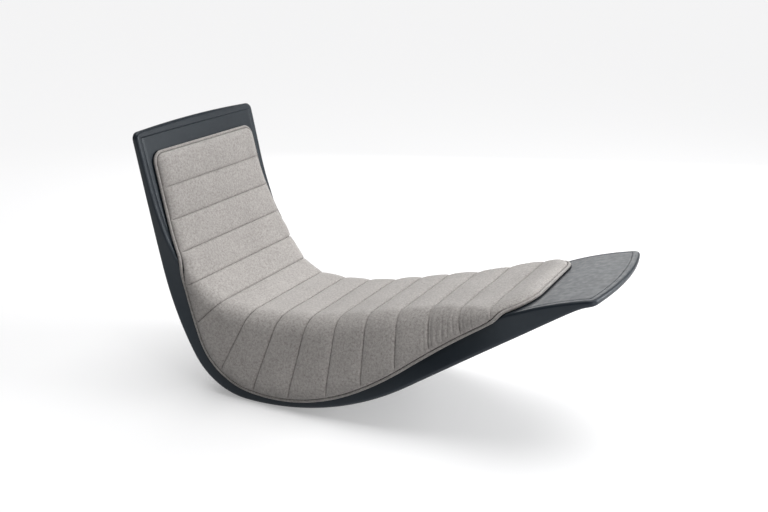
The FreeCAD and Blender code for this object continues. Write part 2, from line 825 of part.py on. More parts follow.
feature("leather_seat_cover", leather_seat())
feature("leather_underside_cover", leather_underside())
feature("leather_side_left", leather_side(1))
feature("leather_side_right", leather_side(-1))
feature("head_padded_edge", head_edge())
feature("foot_padded_edge", foot_edge())
feature("seat_foam", seat_foam())
feature("bolster_foam_left", bolster(1))
feature("bolster_foam_right", bolster(-1))
feature("underside_felt", underside_felt())
feature("seat_deck", seat_deck())
feature("underside_skin", underside_skin())
feature("head_rail", rail(*HEAD_RAIL))
feature("foot_rail", rail(*FOOT_RAIL))
feature("rocker_runner_left", runner(1))
feature("rocker_runner_right", runner(-1))
feature("pad_grip_mat", grip_mat())
feature("pad_foam_sheet", pad_sheet())
feature("pad_quilted_top", pad_quilt())
feature("pad_piping_left", piping(1))
feature("pad_piping_right", piping(-1))
build_frame()

doc.recompute()
for item in doc.Objects:
    if {"Invalid", "Error"} & set(item.State):
        raise RuntimeError(f"{item.Label} failed to build")
for item in pieces:
    if item.Shape.isNull() or not item.Shape.isValid():
        raise RuntimeError(f"{item.Label} is not a valid solid")

os.makedirs("parts", exist_ok=True)
for item in pieces:
    item.Shape.exportStep(f"parts/{item.Label}.step")
    print(f"{item.Label}: {len(item.Shape.Solids)} solid, {item.Shape.Volume / 1e3:.0f} cm3")
print(f"{len(pieces)} pieces")
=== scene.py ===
import math
import bmesh
import bpy
import numpy as np
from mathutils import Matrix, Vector, noise


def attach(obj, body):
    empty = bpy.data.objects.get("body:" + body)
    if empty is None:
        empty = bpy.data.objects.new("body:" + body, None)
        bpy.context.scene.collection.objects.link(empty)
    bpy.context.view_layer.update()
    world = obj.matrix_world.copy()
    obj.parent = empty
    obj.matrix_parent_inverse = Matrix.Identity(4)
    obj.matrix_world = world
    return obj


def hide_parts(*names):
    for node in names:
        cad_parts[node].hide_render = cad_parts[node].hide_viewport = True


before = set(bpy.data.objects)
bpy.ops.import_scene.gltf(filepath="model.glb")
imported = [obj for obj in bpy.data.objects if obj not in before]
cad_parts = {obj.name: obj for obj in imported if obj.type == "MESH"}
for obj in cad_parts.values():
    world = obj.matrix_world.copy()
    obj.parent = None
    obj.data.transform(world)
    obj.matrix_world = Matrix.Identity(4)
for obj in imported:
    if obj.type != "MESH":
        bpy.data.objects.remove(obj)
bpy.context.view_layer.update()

MM = 0.001


# The body's shape, in millimetres: the same lines and cross-sections as the solids have

BACK_RAKE, BACK_STRAIGHT = 10.0, 459.0
LUMBAR_RADIUS, LUMBAR_TURN = 958.0, 18.8
HIP_RADIUS, HIP_TURN = 245.0, 58.7
ROCKER_RADIUS, ROCKER_TURN = 967.0, 36.2
FOOT_STRAIGHT = 760.0
LAP_RAKE = 12.5
# From the head to the foot: radius and turn in degrees, or a straight length and 0
FRONT_RUNS = [
    (190.0, 0.0), (1100.0, 16.0), (259.0, 59.3), (1178.0, 16.6), (481.0, 0.0),
    (600.0, 9.0), (40.0, 0.0), (1100.0, -13.3),
]
EDGE_DEPTH, EDGE_BLEND = 18.0, 10.0
LAG, LAG_START, LAG_END = 17.0, 200.0, 1450.0
HEAD_HALF, FOOT_HALF, TAPER_POWER = 325.0, 250.0, 1.5
SIDE_LEAN = 82.0
LEAN_START, LEAN_FULL, LEAN_RELEASE, LEAN_END = 330.0, 850.0, 1400.0, 1740.0
EDGE_RADIUS, SHOULDER_RADIUS = 9.0, 50.0
HEAD_CORNER, FOOT_CORNER, FOOT_BOW = 25.0, 24.0, 50.0
HEAD_ARCH = 8.0
RUNNER_THICKNESS = 4.0
SEAM_INSET = 12.0

PAD_START, PAD_END = 86.0, 1742.0
CHANNELS = 15
PITCH = (PAD_END - PAD_START) / CHANNELS
PAD_MARGIN, PAD_DIP, DIP_MIDDLE, DIP_REACH = 86.0, 47.0, 985.0, 300.0
PAD_HEAD_CORNER, PAD_FOOT_CORNER = 32.0, 120.0
PAD_LOFT, SEAM_LOFT, RIM_LOFT, RIM_FADE = 28.5, 23.0, 10.0, 42.0
PIPING_RADIUS = 5.0


def arc(radius, turn):
    return radius * abs(math.radians(turn)), math.radians(turn)


def run(radius_or_length, turn):
    return arc(radius_or_length, turn) if turn else (radius_or_length, 0.0)


def along(piece, step):
    """Point and heading at one step along a straight or an arc."""
    _, length, x, z, heading, turn = piece
    bend = turn / length
    if abs(bend) < 1e-12:
        return x + step * math.cos(heading), z + step * math.sin(heading), heading
    ahead = heading + bend * step
    x += (math.sin(ahead) - math.sin(heading)) / bend
    z -= (math.cos(ahead) - math.cos(heading)) / bend
    return x, z, ahead


def lay_path(start, heading, runs):
    laid, distance = [], 0.0
    x, z = start
    for length, turn in runs:
        laid.append((distance, length, x, z, heading, turn))
        x, z, heading = along(laid[-1], length)
        distance += length
    return laid


def on_path(path, distance):
    piece = next(p for p in reversed(path) if distance >= p[0] or p is path[0])
    return along(piece, distance - piece[0])


def path_length(path):
    return path[-1][0] + path[-1][1]


REAR_RUNS = [run(BACK_STRAIGHT, 0.0), run(LUMBAR_RADIUS, LUMBAR_TURN), run(HIP_RADIUS, HIP_TURN),
             run(ROCKER_RADIUS, ROCKER_TURN), run(FOOT_STRAIGHT, 0.0)]


def rear_line():
    heading = math.radians(BACK_RAKE - 90)
    path = lay_path((0.0, 0.0), heading, REAR_RUNS)
    rocker = path[3]
    x, z, _ = along(rocker, -rocker[4] * rocker[1] / rocker[5])
    return lay_path((-x, RUNNER_THICKNESS - z), heading, REAR_RUNS)


REAR = rear_line()
X0, Z0, HEADING0 = on_path(REAR, 0.0)
FRONT = lay_path((X0 - EDGE_DEPTH * math.sin(HEADING0), Z0 + EDGE_DEPTH * math.cos(HEADING0)),
                 math.radians(LAP_RAKE - 90), [run(*r) for r in FRONT_RUNS])
LENGTH = path_length(FRONT)
REAR_STEPS = 3000
REAR_POINTS = np.array([on_path(REAR, path_length(REAR) * i / REAR_STEPS)[:2]
                        for i in range(REAR_STEPS + 1)])


def smooth(share):
    share = min(max(share, 0.0), 1.0)
    return share * share * (3 - 2 * share)


def depth_to_rear(x, z, dx, dz):
    """How far behind the point the rear line is, against the direction."""
    px, pz = REAR_POINTS[:, 0] - x, REAR_POINTS[:, 1] - z
    side = px * dz - pz * dx
    depth = -(px * dx + pz * dz)
    cross = np.nonzero((side[:-1] * side[1:] <= 0) & (depth[1:] > -3 * EDGE_DEPTH))[0]
    if not len(cross):
        return -EDGE_DEPTH
    share = side[cross] / (side[cross] - side[cross + 1])
    found = depth[cross] + share * (depth[cross + 1] - depth[cross])
    return found[np.argmin(np.abs(found))]


class Section:
    """The cross-section at a distance along the front line."""

    def __init__(self, u):
        self.u = u
        self.x, self.z, heading = on_path(FRONT, u)
        share = min(max((u - LAG_START) / (LAG_END - LAG_START), 0.0), 1.0)
        up = heading + math.pi / 2 - math.radians(LAG) * math.sin(math.pi * share)
        self.dx, self.dz = math.cos(up), math.sin(up)
        depth = depth_to_rear(self.x, self.z, self.dx, self.dz)
        self.depth = (depth + EDGE_DEPTH + math.hypot(depth - EDGE_DEPTH, EDGE_BLEND)) / 2
        self.rim = HEAD_HALF - (HEAD_HALF - FOOT_HALF) * (max(u, 0.0) / LENGTH) ** TAPER_POWER
        lean = smooth((u - LEAN_START) / (LEAN_FULL - LEAN_START))
        lean *= 1 - smooth((u - LEAN_RELEASE) / (LEAN_END - LEAN_RELEASE))
        self.shoulder = self.rim - SIDE_LEAN * lean
        self.upper_r = EDGE_RADIUS + (SHOULDER_RADIUS - EDGE_RADIUS) * lean
        self.lower_r = EDGE_RADIUS
        self.tilt = math.atan2(self.rim - self.shoulder, self.depth)
        upper_t = self.upper_r * math.tan((math.pi / 2 - self.tilt) / 2)
        lower_t = self.lower_r * math.tan((math.pi / 2 + self.tilt) / 2)
        self.out = (math.cos(self.tilt), -math.sin(self.tilt))
        self.flat = self.shoulder - upper_t
        self.floor = self.rim - lower_t
        self.upper_c = (self.flat, self.upper_r)
        self.lower_c = (self.floor, self.depth - self.lower_r)
        self.slope_start = self.off_arc(self.upper_c, self.upper_r, math.pi / 2 - self.tilt)
        self.slope_end = self.off_arc(self.lower_c, self.lower_r, math.pi / 2 - self.tilt)
        self.rounding = self.upper_r * (math.pi / 2 - self.tilt)
        start, end = self.slope_start, self.slope_end
        self.slant = math.hypot(end[0] - start[0], end[1] - start[1])

    @staticmethod
    def off_arc(center, radius, turn):
        return center[0] + radius * math.sin(turn), center[1] - radius * math.cos(turn)

    def place(self, y, h):
        return self.x - self.dx * h, y, self.z - self.dz * h

    def over(self, girth, lift):
        """Width and depth at a girth from the middle, lifted off the leather."""
        if girth <= self.flat:
            return girth, -lift
        if girth <= self.flat + self.rounding:
            turn = (girth - self.flat) / self.upper_r
            return self.off_arc(self.upper_c, self.upper_r + lift, turn)
        a = self.off_arc(self.upper_c, self.upper_r + lift, math.pi / 2 - self.tilt)
        down = girth - self.flat - self.rounding
        return a[0] - self.out[1] * down, a[1] + self.out[0] * down


SECTIONS = {}


def section(u):
    key = round(u, 3)
    if key not in SECTIONS:
        SECTIONS[key] = Section(u)
    return SECTIONS[key]


def spread(start, end, count):
    return [start + (end - start) * i / (count - 1) for i in range(count)]


def grid_mesh(name, rows, close_rows=False, close_columns=False, attribute=None, flip=False):
    """A mesh of quads through rows of points given in millimetres."""
    height, width = len(rows), len(rows[0])
    points = np.array(rows, dtype=float).reshape(-1, 3) * MM
    faces = []
    for i in range(height if close_rows else height - 1):
        for j in range(width if close_columns else width - 1):
            a = i * width + j
            b = i * width + (j + 1) % width
            c = ((i + 1) % height) * width + (j + 1) % width
            d = ((i + 1) % height) * width + j
            faces.append((a, d, c, b) if flip else (a, b, c, d))
    mesh = bpy.data.meshes.new(name)
    mesh.from_pydata(points.tolist(), [], faces)
    mesh.polygons.foreach_set("use_smooth", [True] * len(mesh.polygons))
    if attribute is not None:
        layer = mesh.attributes.new("cloth", "FLOAT_VECTOR", "POINT")
        layer.data.foreach_set("vector", (np.array(attribute, dtype=float) * MM).ravel())
    mesh.update()
    obj = bpy.data.objects.new(name, mesh)
    bpy.context.scene.collection.objects.link(obj)
    return obj


def finish_piece(obj, material, slot, *nodes):
    obj.data.materials.append(material)
    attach(obj, "root")
    if nodes:
        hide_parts(*nodes)
    return obj


# Materials

LEATHER_DEEP = (0.0035, 0.0068, 0.0115)
LEATHER_PLAIN = (0.0065, 0.0115, 0.0175)
# Lighter leather tone painted on the convex edges as a highlight
LEATHER_EDGE_HIGHLIGHT = (0.03, 0.036, 0.05)
FINE_BUMP, CREASE_BUMP = 0.0005, 0.0008
WEAVE_RADIANS_PER_METRE = 3600.0
WEAVE_SHARE = 0.1


def new_material(name):
    material = bpy.data.materials.new(name)
    material.use_nodes = True
    tree = material.node_tree
    tree.nodes.clear()
    output = tree.nodes.new("ShaderNodeOutputMaterial")
    shader = tree.nodes.new("ShaderNodeBsdfPrincipled")
    tree.links.new(shader.outputs["BSDF"], output.inputs["Surface"])
    return material, tree, shader


def node(tree, kind, inputs=None, **settings):
    made = tree.nodes.new(kind)
    for key, value in settings.items():
        setattr(made, key, value)
    for key, value in (inputs or {}).items():
        if isinstance(value, bpy.types.NodeSocket):
            tree.links.new(value, made.inputs[key])
        else:
            made.inputs[key].default_value = value
    return made


def calc(tree, operation, *values):
    """What one Math node makes of the values."""
    return node(tree, "ShaderNodeMath", dict(enumerate(values)), operation=operation).outputs[0]


def noise_pattern(tree, coords, scale, detail, **more):
    inputs = {"Vector": coords, "Scale": scale, "Detail": detail, **more}
    return node(tree, "ShaderNodeTexNoise", inputs).outputs["Fac"]


def grey(level):
    return level, level, level


def ramp(tree, factor, stops):
    made = node(tree, "ShaderNodeValToRGB", {"Fac": factor})
    elements = made.color_ramp.elements
    while len(elements) < len(stops):
        elements.new(0.5)
    for element, (position, color) in zip(elements, stops):
        element.position = position
        element.color = (*color, 1.0)
    return made.outputs["Color"]


def bump(tree, height, strength, distance, normal=None):
    inputs = {"Height": height, "Strength": strength, "Distance": distance}
    if normal is not None:
        inputs["Normal"] = normal
    return node(tree, "ShaderNodeBump", inputs).outputs["Normal"]


def leather_material():
    """Dark blue-black leather: pebbled grain, fine creases, and a painted highlight, a lighter tone on
    the convex edges.
    """
    material, tree, shader = new_material("dark_leather")
    coords = node(tree, "ShaderNodeTexCoord").outputs["Object"]
    pebbles = node(tree, "ShaderNodeTexVoronoi", {"Vector": coords, "Scale": 420.0}, feature="SMOOTH_F1")
    creases = noise_pattern(tree, coords, 60.0, 6.0)
    clouds = noise_pattern(tree, coords, 5.0, 3.0)
    tone = ramp(tree, clouds, [(0.3, LEATHER_DEEP), (0.7, LEATHER_PLAIN)])
    # Painted highlight: a lighter tone on the convex edges, where pointiness is high, broken by the
    # crease noise
    convex_pointiness = node(tree, "ShaderNodeNewGeometry").outputs["Pointiness"]
    edge = ramp(tree, convex_pointiness, [(0.5, grey(0.0)), (0.56, grey(1.0))])
    painted_edge_highlight = calc(tree, "MULTIPLY", edge, creases)
    color = node(tree, "ShaderNodeMix", {"Factor": painted_edge_highlight, "A": tone, "B": (*LEATHER_EDGE_HIGHLIGHT, 1.0)},
                 data_type="RGBA")
    tree.links.new(color.outputs["Result"], shader.inputs["Base Color"])
    gloss = ramp(tree, creases, [(0.3, grey(0.36)), (0.7, grey(0.48))])
    tree.links.new(gloss, shader.inputs["Roughness"])
    grain = bump(tree, pebbles.outputs["Distance"], 0.18, FINE_BUMP)
    normal = bump(tree, creases, 0.12, CREASE_BUMP, grain)
    tree.links.new(normal, shader.inputs["Normal"])
    shader.inputs["Specular IOR Level"].default_value = 0.42
    shader.inputs["Specular Tint"].default_value = (0.88, 0.95, 1.0, 1.0)
    return material


def cloth_material(name, light, dark):
    """Melange wool: two tones of yarn, a fine weave, loose fibres and a soft sheen."""
    material, tree, shader = new_material(name)
    cloth = node(tree, "ShaderNodeAttribute", attribute_name="cloth").outputs["Vector"]
    coords = node(tree, "ShaderNodeTexCoord").outputs["Object"]
    split = node(tree, "ShaderNodeSeparateXYZ", {"Vector": cloth})
    warp = calc(tree, "MULTIPLY", split.outputs["X"], WEAVE_RADIANS_PER_METRE)
    weft = calc(tree, "MULTIPLY", split.outputs["Y"], WEAVE_RADIANS_PER_METRE)
    warp_wave = calc(tree, "SINE", warp)
    weft_wave = calc(tree, "SINE", weft)
    threads = calc(tree, "MULTIPLY", warp_wave, weft_wave)
    fibres = noise_pattern(tree, coords, 520.0, 4.0, Roughness=0.7)
    flecks = noise_pattern(tree, coords, 150.0, 3.0, Roughness=0.65)
    clouds = noise_pattern(tree, coords, 7.0, 2.0)
    yarn = calc(tree, "ADD", fibres, flecks)
    tone = calc(tree, "MULTIPLY_ADD", threads, WEAVE_SHARE, yarn)
    color = ramp(tree, calc(tree, "MULTIPLY", tone, 0.5), [(0.36, dark), (0.62, light)])
    shade = ramp(tree, clouds, [(0.35, grey(0.93)), (0.65, grey(1.0))])
    mixed = node(tree, "ShaderNodeMix", {"Factor": 1.0, "A": color, "B": shade}, data_type="RGBA",
                 blend_type="MULTIPLY")
    tree.links.new(mixed.outputs["Result"], shader.inputs["Base Color"])
    shader.inputs["Roughness"].default_value = 0.92
    shader.inputs["Specular IOR Level"].default_value = 0.2
    shader.inputs["Sheen Weight"].default_value = 0.25
    shader.inputs["Sheen Roughness"].default_value = 0.5
    woven = bump(tree, tone, 0.5, FINE_BUMP)
    tree.links.new(woven, shader.inputs["Normal"])
    return material


def plain_material(name, color, rough, scale, strength):
    """A hidden or small piece: one tone broken by noise, with a fine bump."""
    material, tree, shader = new_material(name)
    coords = node(tree, "ShaderNodeTexCoord").outputs["Object"]
    speckle = noise_pattern(tree, coords, scale, 5.0)
    darker = tuple(c * 0.75 for c in color)
    tone = ramp(tree, speckle, [(0.35, darker), (0.65, color)])
    tree.links.new(tone, shader.inputs["Base Color"])
    tree.links.new(bump(tree, speckle, strength, FINE_BUMP), shader.inputs["Normal"])
    shader.inputs["Roughness"].default_value = rough
    return material


def wood_material(name, light, dark):
    """Planed wood with stretched rings and pores."""
    material, tree, shader = new_material(name)
    coords = node(tree, "ShaderNodeTexCoord").outputs["Object"]
    stretched = node(tree, "ShaderNodeMapping", {"Vector": coords, "Scale": (3.0, 40.0, 12.0)})
    rings = noise_pattern(tree, stretched.outputs["Vector"], 3.0, 8.0)
    tree.links.new(ramp(tree, rings, [(0.3, dark), (0.7, light)]), shader.inputs["Base Color"])
    tree.links.new(bump(tree, rings, 0.2, FINE_BUMP), shader.inputs["Normal"])
    shader.inputs["Roughness"].default_value = 0.6
    return material


LEATHER = leather_material()
QUILT = cloth_material("quilt_melange", (0.50, 0.475, 0.455), (0.25, 0.232, 0.22))
CORD_CLOTH = cloth_material("piping_melange", (0.46, 0.438, 0.42), (0.22, 0.205, 0.195))
THREAD = plain_material("grey_thread", (0.13, 0.125, 0.12), 0.7, 900.0, 0.3)


# Leather: one loop of points round each cross-section, shared by top panel, boxing and underside

# How a cover turns down into its seam: distance before the seam line and drop, in millimetres
SEAM_LIPS = ((3.2, 0.0), (1.4, 0.3), (0.5, 0.9), (-0.3, 2.2))
SEAM_LAP = 0.3
EDGE_CLEAR = EDGE_RADIUS + SEAM_INSET
FOOT_EDGE = LENGTH - FOOT_BOW
SIDE_BULGE, BULGE_SLANT = 1.5, 200.0
BODY_ROWS = 190


def upper_profile(s):
    """From the top panel's seam over the shoulder, the side and the rim to the underside's seam."""
    seam = s.flat - SEAM_INSET
    floor_seam = s.floor - SEAM_INSET
    side = math.pi / 2 - s.tilt
    points = [(seam + reach, drop) for reach, drop in reversed(SEAM_LIPS)]
    points += [s.off_arc(s.upper_c, s.upper_r, t) for t in spread(0.0, side, 13)]
    for share in spread(0.0, 1.0, 9)[1:-1]:
        bulge = SIDE_BULGE * math.sin(math.pi * share) * min(s.slant / BULGE_SLANT, 1.0)
        points.append(tuple(a + (b - a) * share + out * bulge
                            for a, b, out in zip(s.slope_start, s.slope_end, s.out)))
    points += [s.off_arc(s.lower_c, s.lower_r, t) for t in spread(side, math.pi, 9)]
    points += [(floor_seam + reach, s.depth - drop) for reach, drop in SEAM_LIPS]
    return points


def body_distances():
    """Distances of the rows between the head's and the foot's edge."""
    return spread(HEAD_CORNER, FOOT_EDGE, BODY_ROWS)


def head_path():
    """Steps round the head's edge: a centre, the way out from it and the radius."""
    straight_half = section(HEAD_CORNER).rim - HEAD_CORNER
    left = [(straight_half, t) for t in spread(0.0, math.pi / 2, 10)]
    across = [(y, math.pi / 2) for y in spread(straight_half, -straight_half, 41)[1:-1]]
    right = [(-straight_half, t) for t in spread(math.pi / 2, math.pi, 10)]
    return [(HEAD_CORNER, y, -math.sin(t), math.cos(t), HEAD_CORNER) for y, t in left + across + right]


def foot_arcs():
    """Radius of the foot's wide arc, place of its corners' centres and the angle where they meet."""
    half = section(FOOT_EDGE).rim
    wide = (half ** 2 - 2 * half * FOOT_CORNER + FOOT_BOW ** 2) / (2 * (FOOT_BOW - FOOT_CORNER))
    across = half - FOOT_CORNER
    return wide, across, math.atan2(wide - FOOT_BOW, across)


def foot_path():
    """Steps round the foot's edge: two corner arcs and the wide arc between them."""
    wide, across, join = foot_arcs()
    steps = []
    for t in spread(0.0, join, 9):
        steps.append((FOOT_EDGE, across, math.sin(t), math.cos(t), FOOT_CORNER))
    for t in spread(join, math.pi - join, 43)[1:-1]:
        steps.append((FOOT_EDGE + FOOT_BOW - wide, 0.0, math.sin(t), math.cos(t), wide))
    for t in spread(math.pi - join, math.pi, 9):
        steps.append((FOOT_EDGE, -across, math.sin(t), math.cos(t), FOOT_CORNER))
    return steps


def head_arch(y):
    """How much the middle of the head's edge stands above its corners."""
    half = HEAD_HALF - HEAD_CORNER
    return HEAD_ARCH * max(0.0, 1 - (y / half) ** 2)


def ride_edge(step, inset, h):
    """The point of an end's edge at an inset and a depth."""
    u, y, out_u, out_y, radius = step
    u_at = u + out_u * (radius - inset)
    y_at = y + out_y * (radius - inset)
    if out_u < 0:
        u_at -= head_arch(y_at) * max(0.0, 1 - u_at / HEAD_CORNER) * max(0.0, -out_u)
    return section(u_at).place(y_at, h)


def boxing():
    """The cover that runs round the whole edge: sides, head and foot."""
    head, foot = section(HEAD_CORNER), section(FOOT_EDGE)
    head_profile = [(head.rim - y, h) for y, h in upper_profile(head)]
    foot_profile = [(foot.rim - y, h) for y, h in upper_profile(foot)]
    rows = []
    for u in body_distances():
        s = section(u)
        rows.append([s.place(y, h) for y, h in upper_profile(s)])
    for step in foot_path()[1:-1]:
        u, _, out_u, _, radius = step
        depth = section(min(u + out_u * radius, LENGTH)).depth
        rows.append([ride_edge(step, inset, h * depth / foot.depth) for inset, h in foot_profile])
    for u in reversed(body_distances()):
        s = section(u)
        rows.append([s.place(-y, h) for y, h in upper_profile(s)])
    for step in reversed(head_path()[1:-1]):
        rows.append([ride_edge(step, inset, h) for inset, h in head_profile])
    return grid_mesh("leather_boxing", rows, close_rows=True, flip=True)


def seam_drop(distance):
    """How far a panel has turned down at a distance from its seam."""
    last_reach, last_drop = SEAM_LIPS[-1]
    if distance <= last_reach:
        return last_drop
    for (outer, low), (inner, high) in zip(SEAM_LIPS, SEAM_LIPS[1:]):
        if inner <= distance <= outer:
            return high + (low - high) * (distance - inner) / (outer - inner)
    return 0.0


def end_half_width(u):
    """Half width of a panel at a distance within the head's or the foot's edge."""
    if u < HEAD_CORNER:
        radius = HEAD_CORNER - EDGE_CLEAR
        past = min(HEAD_CORNER - u, radius)
        return section(HEAD_CORNER).rim - HEAD_CORNER + math.sqrt(max(radius ** 2 - past ** 2, 0.0))
    wide, across, join = foot_arcs()
    past = u - FOOT_EDGE
    corner = FOOT_CORNER - EDGE_CLEAR
    if past < corner * math.sin(join):
        return across + math.sqrt(max(corner ** 2 - past ** 2, 0.0))
    radius = wide - EDGE_CLEAR
    reach = past - FOOT_BOW + wide
    return math.sqrt(max(radius ** 2 - reach ** 2, 0.0))


def panel_outline(top):
    """Distances of a panel's rows, each with its half width: head's edge, body and foot's edge."""
    head_end = EDGE_CLEAR - SEAM_LAP
    foot_end = LENGTH - EDGE_CLEAR + SEAM_LAP
    outline = [(u, end_half_width(u)) for u in spread(head_end, HEAD_CORNER, 5)[:-1]]
    for u in body_distances():
        s = section(u)
        outline.append((u, (s.flat if top else s.floor) - SEAM_INSET))
    for share in spread(0.0, 1.0, 16)[1:]:
        u = foot_end - (foot_end - LENGTH + FOOT_BOW) * (1 - share) ** 2
        outline.append((u, end_half_width(u)))
    return outline


def panel_row(s, half, lips, sink, top):
    """One row across a panel: lips that turn down into the seams, and the field between."""
    widest = half - lips[0][0]
    across = [(-half + reach, drop) for reach, drop in reversed(lips[1:])]
    across += [(y, 0.0) for y in spread(-widest, widest, 41)]
    across += [(half - reach, drop) for reach, drop in lips[1:]]
    row = []
    for y, drop in across:
        down = max(drop, sink)
        u = s.u
        if u < HEAD_CORNER:
            u -= head_arch(y) * (1 - u / HEAD_CORNER)
        row.append(section(u).place(y, down if top else s.depth - down))
    return row


def panel(name, top, flip):
    """Top panel or underside, between its seams."""
    narrowest, lip_share = 6.0, 0.4
    rows = []
    for u, half in panel_outline(top):
        sink = max(seam_drop(u - EDGE_CLEAR), seam_drop(LENGTH - EDGE_CLEAR - u))
        width = max(half, narrowest)
        lips = [(min(reach, width * lip_share), drop) for reach, drop in SEAM_LIPS]
        rows.append(panel_row(section(u), width, lips, sink, top))
    return grid_mesh(name, rows, flip=flip)


boxing_piece = finish_piece(boxing(), LEATHER, "leather", "leather_side_left", "leather_side_right",
                            "head_padded_edge", "foot_padded_edge")
top_piece = finish_piece(panel("leather_top_panel", True, False), LEATHER, "leather",
                         "leather_seat_cover")
under_piece = finish_piece(panel("leather_underside", False, True), LEATHER, "leather",
                           "leather_underside_cover")


# Quilted pad

PAD_REST, EDGE_TUCK = 2.0, 2.0
CROWN_POWER = 2.8
CREASE_DEPTH, CREASE_WIDTH = 5.0, 2.3
EDGE_FADE = 14.0
GATHER_HEIGHT, GATHER_REACH = 1.5, 9.0
DRAPE_HEIGHT = 1.6
FOLD_REACH, FOLD_WANDER, VALLEY_WIDTH = 16.0, 3.0, 2.6
RIDGE_SHARE, RIDGE_OFFSET, RIDGE_WIDTH = 0.45, 6.5, 3.5
FIRST_FOLDED_CHANNEL = 9

# Folds that rise from the piping near the foot: channel, length in mm, depth in mm
GATHERS = [
    (11.08, 60.0, 1.8), (11.3, 45.0, 1.4), (11.86, 70.0, 2.0), (12.1, 130.0, 3.2), (12.28, 60.0, 2.4),
    (12.45, 85.0, 2.6), (12.62, 55.0, 2.2), (12.8, 70.0, 2.4), (13.14, 80.0, 2.4), (13.4, 45.0, 1.6),
]


def pad_corners(u):
    """Radius of the rounded corners at each end, with the distance from that end."""
    return (PAD_HEAD_CORNER, u - PAD_START), (PAD_FOOT_CORNER, PAD_END - u)


def pad_half(u):
    """Half the pad's width over the body, from the middle to the edge."""
    s = section(u)
    dip = PAD_DIP * math.exp(-((u - DIP_MIDDLE) / DIP_REACH) ** 2)
    half = s.flat + s.rounding + s.slant + 2 * EDGE_RADIUS - PAD_MARGIN + dip
    for corner, past in pad_corners(u):
        if past < corner:
            half -= corner - math.sqrt(max(corner ** 2 - (corner - past) ** 2, 0.0))
    return half


def from_edge(u, girth):
    """Distance from the pad's edge, corners included."""
    nearest = pad_half(u) - abs(girth)
    for corner, past in pad_corners(u):
        nearest = min(nearest, past)
        if past < corner:
            square_half = pad_half(u) + corner - math.sqrt(max(corner ** 2 - (corner - past) ** 2, 0.0))
            across = abs(girth) - (square_half - corner)
            if across > 0:
                nearest = corner - math.hypot(across, corner - past)
    return max(nearest, 0.0)


def puckers(u, girth, share, edge):
    """Small folds: stitching gathers the cloth along each seam, and the piping gathers it at the edge."""
    to_seam = min(share, 1 - share) * PITCH
    channel = (u - PAD_START) / PITCH
    along_seam = Vector((girth * 0.035, round(channel) * 7.3, 0.0))
    near_seam = math.exp(-((to_seam - GATHER_REACH) / GATHER_REACH) ** 2)
    gathered = noise.noise(along_seam) * GATHER_HEIGHT * near_seam
    drape = noise.noise(Vector((u * 0.012, girth * 0.010, 3.7))) * DRAPE_HEIGHT
    folds = 0.0
    for place_on, length, depth in GATHERS:
        wander = FOLD_WANDER * noise.noise(Vector((place_on * 9.0, girth * 0.02, 0.0)))
        off = (channel - place_on) * PITCH + wander
        if abs(off) < FOLD_REACH:
            fade = math.exp(-(edge / length) ** 2)
            ridge = RIDGE_SHARE * math.exp(-((abs(off) - RIDGE_OFFSET) / RIDGE_WIDTH) ** 2)
            valley = math.exp(-(off / VALLEY_WIDTH) ** 2)
            folds += depth * fade * (ridge - valley)
    return gathered + drape + folds


def pad_height(u, girth):
    """Thickness of the pad: full channels, pinched seams and a thin edge."""
    share = ((u - PAD_START) / PITCH) % 1.0
    nearest_seam = round((u - PAD_START) / PITCH)
    sewn = 0 < nearest_seam < CHANNELS
    crown = 1 - abs(2 * share - 1) ** CROWN_POWER
    if not sewn:
        crown = max(crown, 1 - abs(2 * min(max(share, 0.25), 0.75) - 1) ** CROWN_POWER)
    edge = from_edge(u, girth)
    rise = math.sqrt(1 - (1 - min(edge / RIM_FADE, 1.0)) ** 2)
    full = SEAM_LOFT + (PAD_LOFT - SEAM_LOFT) * crown
    to_seam = min(share, 1 - share) * PITCH
    crease = CREASE_DEPTH * math.exp(-(to_seam / CREASE_WIDTH) ** 2) if sewn else 0.0
    height = RIM_LOFT + (full - RIM_LOFT) * rise
    taper = min(edge / EDGE_FADE, 1.0)
    return height - crease * taper + puckers(u, girth, share, edge) * taper


def pad_rows():
    """Distances of the pad's rows: closer at the seams, the folds and the rounded corners."""
    shares = [0.0, 0.012, 0.03, 0.06, 0.1, 0.15, 0.22, 0.3, 0.4]
    shares += [0.5, 0.6, 0.7, 0.78, 0.85, 0.9, 0.94, 0.97, 0.988]
    end_gap, least_gap = 0.01, 0.7
    steps = []
    for i in range(CHANNELS):
        steps += [PAD_START + PITCH * (i + share) for share in shares]
        if i >= FIRST_FOLDED_CHANNEL:
            steps += [PAD_START + PITCH * (i + share) for share in spread(0.12, 0.88, 27)]
    steps.append(PAD_END - end_gap)
    steps[0] = PAD_START + end_gap
    steps += [PAD_START + PAD_HEAD_CORNER * (1 - math.cos(t)) for t in spread(0.12, 1.3, 9)]
    steps += [PAD_END - PAD_FOOT_CORNER * (1 - math.cos(t)) for t in spread(0.08, 1.3, 12)]
    steps = sorted(steps)
    kept = [steps[0]]
    for step in steps[1:]:
        if step - kept[-1] > least_gap:
            kept.append(step)
    kept[-1] = steps[-1]
    return kept


def pad_columns():
    """Shares of the half width, closer towards the edge."""
    outer = [0.8 + 0.2 * (1 - (1 - t) ** 1.6) for t in spread(0.0, 1.0, 18)][1:]
    shares = spread(0.0, 0.8, 34) + outer
    return [-s for s in reversed(shares[1:])] + shares


def pad_rim(s, u, half, side, shares):
    """The thin edge of the pad on one side: its points, and where they lie on the cloth."""
    row, cloth = [], []
    for share in shares:
        y, h = s.over(half - (1 - share) * EDGE_TUCK, RIM_LOFT * share + PAD_REST)
        row.append(s.place(side * y, h))
        cloth.append((u, side * (half + RIM_LOFT * (1 - share)), 0.0))
    return row, cloth


